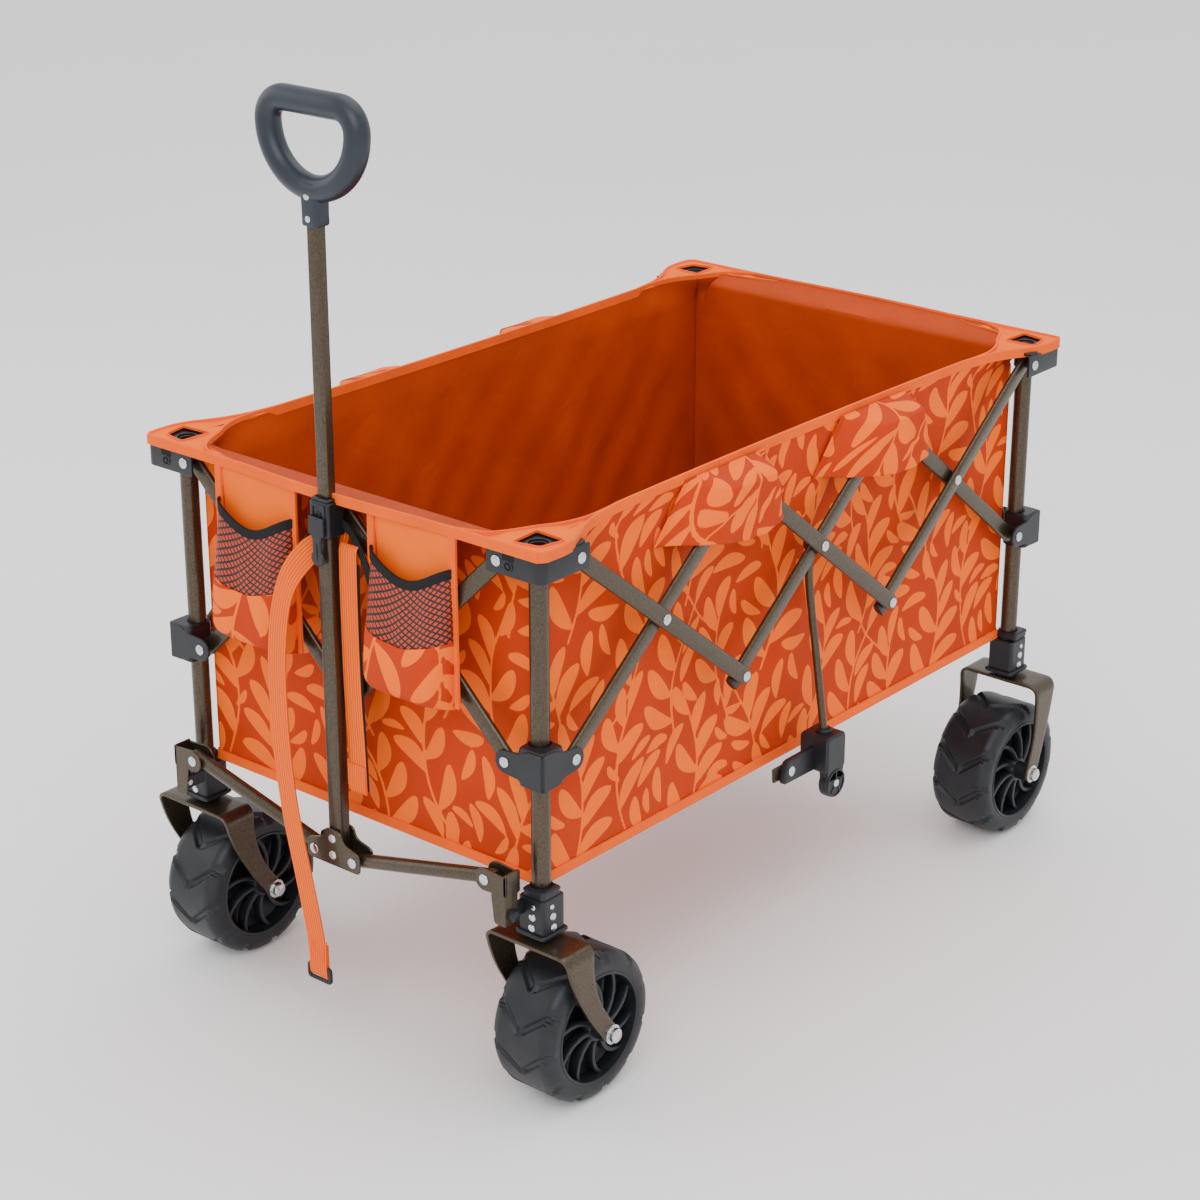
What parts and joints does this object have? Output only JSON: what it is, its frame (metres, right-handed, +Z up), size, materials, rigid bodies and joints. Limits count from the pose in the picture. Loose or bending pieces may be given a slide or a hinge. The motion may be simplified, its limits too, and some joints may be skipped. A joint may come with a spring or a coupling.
{
  "type": "folding wagon",
  "caption": "Folding garden wagon with a scissor frame, an open fabric tub, wide wheels on bent forks and a telescopic pull handle with a D grip.",
  "frame": {"origin": "centre of the bounding box's footprint, on the ground", "axes": "-Y towards the pull handle's end, +X across the wagon, +Z up"},
  "size_m": [0.584, 0.957, 0.9805],
  "materials": {
    "bronze_frame": "hammered bronze paint",
    "black_plastic": "satin moulded",
    "grip_plastic": "satin moulded",
    "tyre_plastic": "moulded",
    "orange_fabric": "woven polyester with a leaf print"
  },
  "bodies": {
    "frame_front_right": {"post_front_right": "bronze_frame", "top_bracket_front_right": "black_plastic", "foot_front_right": "black_plastic", "fabric_tub": "orange_fabric"},
    "frame_front_left": {"post_front_left": "bronze_frame", "top_bracket_front_left": "black_plastic", "foot_front_left": "black_plastic"},
    "frame_rear_right": {"post_rear_right": "bronze_frame", "top_bracket_rear_right": "black_plastic", "foot_rear_right": "black_plastic", "fork_rear_right": "bronze_frame"},
    "frame_rear_left": {"post_rear_left": "bronze_frame", "top_bracket_rear_left": "black_plastic", "foot_rear_left": "black_plastic", "fork_rear_left": "bronze_frame"},
    "slider_front_right": {"slider_front_right": "black_plastic"},
    "fork_front_right": {"fork_front_right": "bronze_frame"},
    "wheel_front_right": {"wheel_front_right": "tyre_plastic"},
    "slider_front_left": {"slider_front_left": "black_plastic"},
    "fork_front_left": {"fork_front_left": "bronze_frame"},
    "wheel_front_left": {"wheel_front_left": "tyre_plastic"},
    "slider_rear_right": {"slider_rear_right": "black_plastic"},
    "wheel_rear_right": {"wheel_rear_right": "tyre_plastic"},
    "slider_rear_left": {"slider_rear_left": "black_plastic"},
    "wheel_rear_left": {"wheel_rear_left": "tyre_plastic"},
    "bar_right_1_down": {"bar_right_1_down": "bronze_frame"},
    "bar_right_1_up": {"bar_right_1_up": "bronze_frame"},
    "bar_right_2_down": {"bar_right_2_down": "bronze_frame"},
    "bar_right_2_up": {"bar_right_2_up": "bronze_frame"},
    "bar_right_3_down": {"bar_right_3_down": "bronze_frame"},
    "bar_right_3_up": {"bar_right_3_up": "bronze_frame"},
    "bar_left_1_down": {"bar_left_1_down": "bronze_frame"},
    "bar_left_1_up": {"bar_left_1_up": "bronze_frame"},
    "bar_left_2_down": {"bar_left_2_down": "bronze_frame"},
    "bar_left_2_up": {"bar_left_2_up": "bronze_frame"},
    "bar_left_3_down": {"bar_left_3_down": "bronze_frame"},
    "bar_left_3_up": {"bar_left_3_up": "bronze_frame"},
    "bar_front_1_down": {"bar_front_1_down": "bronze_frame"},
    "bar_front_1_up": {"bar_front_1_up": "bronze_frame"},
    "bar_front_2_down": {"bar_front_2_down": "bronze_frame"},
    "bar_front_2_up": {"bar_front_2_up": "bronze_frame"},
    "bar_rear_1_down": {"bar_rear_1_down": "bronze_frame"},
    "bar_rear_1_up": {"bar_rear_1_up": "bronze_frame"},
    "bar_rear_2_down": {"bar_rear_2_down": "bronze_frame"},
    "bar_rear_2_up": {"bar_rear_2_up": "bronze_frame"},
    "hanger_right": {"hanging_rod_right": "bronze_frame", "hub_bracket_right": "black_plastic"},
    "hanger_left": {"hanging_rod_left": "bronze_frame", "hub_bracket_left": "black_plastic"},
    "handle_clevis_right": {"handle_clevis_right": "bronze_frame"},
    "handle_arm_right": {"handle_arm_right": "bronze_frame"},
    "handle_clevis_left": {"handle_clevis_left": "bronze_frame"},
    "handle_arm_left": {"handle_arm_left": "bronze_frame"},
    "handle_base": {"handle_base_bracket": "bronze_frame", "pole_lower_tube": "bronze_frame", "pole_collar": "black_plastic"},
    "handle_top": {"grip": "grip_plastic", "pole_upper_tube": "bronze_frame"},
    "handle_lever": {"pole_lever": "black_plastic"}
  },
  "joints": [
    {"name": "fold", "type": "hinge", "parent": "frame_front_right", "child": "bar_right_1_down", "pos_m": [0.251, -0.3865, 0.576], "axis": [-1, 0, 0], "range_deg": [0, 21], "deforming": ["fabric_tub"]},
    {"name": "fold_right_1_up", "type": "hinge", "parent": "bar_right_1_down", "child": "bar_right_1_up", "pos_m": [0.251, -0.25683, 0.4735], "axis": [1, 0, 0], "range_deg": [0, 42]},
    {"name": "fold_slider_front_right", "type": "hinge", "parent": "bar_right_1_up", "child": "slider_front_right", "pos_m": [0.251, -0.3865, 0.371], "axis": [1, 0, 0], "range_deg": [-21, 0]},
    {"name": "fold_right_2_up", "type": "hinge", "parent": "bar_right_1_down", "child": "bar_right_2_up", "pos_m": [0.251, -0.12717, 0.371], "axis": [1, 0, 0], "range_deg": [0, 42]},
    {"name": "fold_right_2_down", "type": "hinge", "parent": "bar_right_2_up", "child": "bar_right_2_down", "pos_m": [0.251, 0.0025, 0.4735], "axis": [1, 0, 0], "range_deg": [-42, 0]},
    {"name": "fold_hanger_right", "type": "hinge", "parent": "bar_right_2_up", "child": "hanger_right", "pos_m": [0.251, 0.0025, 0.4735], "axis": [1, 0, 0], "range_deg": [-21, 0]},
    {"name": "fold_right_3_up", "type": "hinge", "parent": "bar_right_2_down", "child": "bar_right_3_up", "pos_m": [0.251, 0.13217, 0.371], "axis": [1, 0, 0], "range_deg": [0, 42]},
    {"name": "fold_right_3_down", "type": "hinge", "parent": "bar_right_3_up", "child": "bar_right_3_down", "pos_m": [0.251, 0.26183, 0.4735], "axis": [1, 0, 0], "range_deg": [-42, 0]},
    {"name": "fold_frame_rear_right", "type": "hinge", "parent": "bar_right_3_up", "child": "frame_rear_right", "pos_m": [0.251, 0.3915, 0.576], "axis": [1, 0, 0], "range_deg": [-21, 0]},
    {"name": "fold_slider_rear_right", "type": "hinge", "parent": "bar_right_3_down", "child": "slider_rear_right", "pos_m": [0.251, 0.3915, 0.371], "axis": [1, 0, 0], "range_deg": [0, 21]},
    {"name": "fold_front_1_down", "type": "hinge", "parent": "frame_front_right", "child": "bar_front_1_down", "pos_m": [0.21, -0.4245, 0.576], "axis": [0, 1, 0], "range_deg": [-31.5, 0]},
    {"name": "fold_front_1_up", "type": "hinge", "parent": "bar_front_1_down", "child": "bar_front_1_up", "pos_m": [0.105, -0.4245, 0.4735], "axis": [0, 1, 0], "range_deg": [0, 63]},
    {"name": "fold_front_2_up", "type": "hinge", "parent": "bar_front_1_down", "child": "bar_front_2_up", "pos_m": [0, -0.4245, 0.371], "axis": [0, 1, 0], "range_deg": [0, 63]},
    {"name": "fold_front_2_down", "type": "hinge", "parent": "bar_front_2_up", "child": "bar_front_2_down", "pos_m": [-0.105, -0.4245, 0.4735], "axis": [0, 1, 0], "range_deg": [-63, 0]},
    {"name": "fold_frame_front_left", "type": "hinge", "parent": "bar_front_2_up", "child": "frame_front_left", "pos_m": [-0.21, -0.4245, 0.576], "axis": [0, 1, 0], "range_deg": [-31.5, 0]},
    {"name": "fold_slider_front_left", "type": "hinge", "parent": "bar_front_2_down", "child": "slider_front_left", "pos_m": [-0.21, -0.4245, 0.371], "axis": [0, 1, 0], "range_deg": [0, 31.5]},
    {"name": "fold_left_1_down", "type": "hinge", "parent": "frame_front_left", "child": "bar_left_1_down", "pos_m": [-0.251, -0.3865, 0.576], "axis": [1, 0, 0], "range_deg": [-21, 0]},
    {"name": "fold_left_1_up", "type": "hinge", "parent": "bar_left_1_down", "child": "bar_left_1_up", "pos_m": [-0.251, -0.25683, 0.4735], "axis": [1, 0, 0], "range_deg": [0, 42]},
    {"name": "fold_left_2_up", "type": "hinge", "parent": "bar_left_1_down", "child": "bar_left_2_up", "pos_m": [-0.251, -0.12717, 0.371], "axis": [1, 0, 0], "range_deg": [0, 42]},
    {"name": "fold_left_2_down", "type": "hinge", "parent": "bar_left_2_up", "child": "bar_left_2_down", "pos_m": [-0.251, 0.0025, 0.4735], "axis": [1, 0, 0], "range_deg": [-42, 0]},
    {"name": "fold_hanger_left", "type": "hinge", "parent": "bar_left_2_up", "child": "hanger_left", "pos_m": [-0.251, 0.0025, 0.4735], "axis": [1, 0, 0], "range_deg": [-21, 0]},
    {"name": "fold_left_3_up", "type": "hinge", "parent": "bar_left_2_down", "child": "bar_left_3_up", "pos_m": [-0.251, 0.13217, 0.371], "axis": [1, 0, 0], "range_deg": [0, 42]},
    {"name": "fold_left_3_down", "type": "hinge", "parent": "bar_left_3_up", "child": "bar_left_3_down", "pos_m": [-0.251, 0.26183, 0.4735], "axis": [1, 0, 0], "range_deg": [-42, 0]},
    {"name": "fold_frame_rear_left", "type": "hinge", "parent": "bar_left_3_up", "child": "frame_rear_left", "pos_m": [-0.251, 0.3915, 0.576], "axis": [1, 0, 0], "range_deg": [-21, 0]},
    {"name": "fold_slider_rear_left", "type": "hinge", "parent": "bar_left_3_down", "child": "slider_rear_left", "pos_m": [-0.251, 0.3915, 0.371], "axis": [1, 0, 0], "range_deg": [0, 21]},
    {"name": "fold_rear_1_down", "type": "hinge", "parent": "frame_rear_right", "child": "bar_rear_1_down", "pos_m": [0.21, 0.4295, 0.576], "axis": [0, 1, 0], "range_deg": [-31.5, 0]},
    {"name": "fold_rear_1_up", "type": "hinge", "parent": "bar_rear_1_down", "child": "bar_rear_1_up", "pos_m": [0.105, 0.4295, 0.4735], "axis": [0, 1, 0], "range_deg": [0, 63]},
    {"name": "fold_rear_2_up", "type": "hinge", "parent": "bar_rear_1_down", "child": "bar_rear_2_up", "pos_m": [0, 0.4295, 0.371], "axis": [0, 1, 0], "range_deg": [0, 63]},
    {"name": "fold_rear_2_down", "type": "hinge", "parent": "bar_rear_2_up", "child": "bar_rear_2_down", "pos_m": [-0.105, 0.4295, 0.4735], "axis": [0, 1, 0], "range_deg": [-63, 0]},
    {"name": "handle_tilt", "type": "hinge", "parent": "frame_front_right", "child": "handle_clevis_right", "pos_m": [0.204, -0.4485, 0.222], "axis": [1, 0, 0], "range_deg": [0, 85]},
    {"name": "fold_arm_right", "type": "hinge", "parent": "handle_clevis_right", "child": "handle_arm_right", "pos_m": [0.204, -0.4485, 0.255], "axis": [0, 1, 0], "range_deg": [-63.21, 0]},
    {"name": "fold_base", "type": "hinge", "parent": "handle_arm_right", "child": "handle_base", "pos_m": [0.0265, -0.4485, 0.213], "axis": [0, 1, 0], "range_deg": [0, 63.21]},
    {"name": "fold_arm_left", "type": "hinge", "parent": "handle_base", "child": "handle_arm_left", "pos_m": [-0.0265, -0.4485, 0.213], "axis": [0, 1, 0], "range_deg": [0, 63.21]},
    {"name": "fold_clevis_left", "type": "hinge", "parent": "handle_arm_left", "child": "handle_clevis_left", "pos_m": [-0.204, -0.4485, 0.255], "axis": [0, 1, 0], "range_deg": [-63.21, 0]},
    {"name": "pole_slide", "type": "slide", "parent": "handle_base", "child": "handle_top", "axis": [0, 0, 1], "range_m": [-0.255, 0]},
    {"name": "lever_press", "type": "hinge", "parent": "handle_base", "child": "handle_lever", "pos_m": [0, -0.4629, 0.5795], "axis": [-1, 0, 0], "range_deg": [0, 12]},
    {"name": "swivel_front_right", "type": "hinge", "parent": "frame_front_right", "child": "fork_front_right", "pos_m": [0.236, -0.4125, 0.188], "axis": [0, 0, 1], "continuous": true},
    {"name": "roll_front_right", "type": "hinge", "parent": "fork_front_right", "child": "wheel_front_right", "pos_m": [0.236, -0.3705, 0.079], "axis": [1, 0, 0], "continuous": true},
    {"name": "swivel_front_left", "type": "hinge", "parent": "frame_front_left", "child": "fork_front_left", "pos_m": [-0.236, -0.4125, 0.188], "axis": [0, 0, 1], "continuous": true},
    {"name": "roll_front_left", "type": "hinge", "parent": "fork_front_left", "child": "wheel_front_left", "pos_m": [-0.236, -0.3705, 0.079], "axis": [1, 0, 0], "continuous": true},
    {"name": "roll_rear_right", "type": "hinge", "parent": "frame_rear_right", "child": "wheel_rear_right", "pos_m": [0.236, 0.3995, 0.079], "axis": [1, 0, 0], "continuous": true},
    {"name": "roll_rear_left", "type": "hinge", "parent": "frame_rear_left", "child": "wheel_rear_left", "pos_m": [-0.236, 0.3995, 0.079], "axis": [1, 0, 0], "continuous": true}
  ],
  "couplings": [
    {"joint": "fold_right_1_up", "follows": "fold", "ratio": 2},
    {"joint": "fold_slider_front_right", "follows": "fold", "ratio": -1},
    {"joint": "fold_right_2_up", "follows": "fold", "ratio": 2},
    {"joint": "fold_right_2_down", "follows": "fold", "ratio": -2},
    {"joint": "fold_hanger_right", "follows": "fold", "ratio": -1},
    {"joint": "fold_right_3_up", "follows": "fold", "ratio": 2},
    {"joint": "fold_right_3_down", "follows": "fold", "ratio": -2},
    {"joint": "fold_frame_rear_right", "follows": "fold", "ratio": -1},
    {"joint": "fold_slider_rear_right", "follows": "fold", "ratio": 1},
    {"joint": "fold_front_1_down", "follows": "fold", "ratio": -1.5},
    {"joint": "fold_front_1_up", "follows": "fold", "ratio": 3},
    {"joint": "fold_front_2_up", "follows": "fold", "ratio": 3},
    {"joint": "fold_front_2_down", "follows": "fold", "ratio": -3},
    {"joint": "fold_frame_front_left", "follows": "fold", "ratio": -1.5},
    {"joint": "fold_slider_front_left", "follows": "fold", "ratio": 1.5},
    {"joint": "fold_left_1_down", "follows": "fold", "ratio": -1},
    {"joint": "fold_left_1_up", "follows": "fold", "ratio": 2},
    {"joint": "fold_left_2_up", "follows": "fold", "ratio": 2},
    {"joint": "fold_left_2_down", "follows": "fold", "ratio": -2},
    {"joint": "fold_hanger_left", "follows": "fold", "ratio": -1},
    {"joint": "fold_left_3_up", "follows": "fold", "ratio": 2},
    {"joint": "fold_left_3_down", "follows": "fold", "ratio": -2},
    {"joint": "fold_frame_rear_left", "follows": "fold", "ratio": -1},
    {"joint": "fold_slider_rear_left", "follows": "fold", "ratio": 1},
    {"joint": "fold_rear_1_down", "follows": "fold", "ratio": -1.5},
    {"joint": "fold_rear_1_up", "follows": "fold", "ratio": 3},
    {"joint": "fold_rear_2_up", "follows": "fold", "ratio": 3},
    {"joint": "fold_rear_2_down", "follows": "fold", "ratio": -3},
    {"joint": "fold_arm_right", "follows": "fold", "ratio": -3.01},
    {"joint": "fold_base", "follows": "fold", "ratio": 3.01},
    {"joint": "fold_arm_left", "follows": "fold", "ratio": 3.01},
    {"joint": "fold_clevis_left", "follows": "fold", "ratio": -3.01}
  ]
}
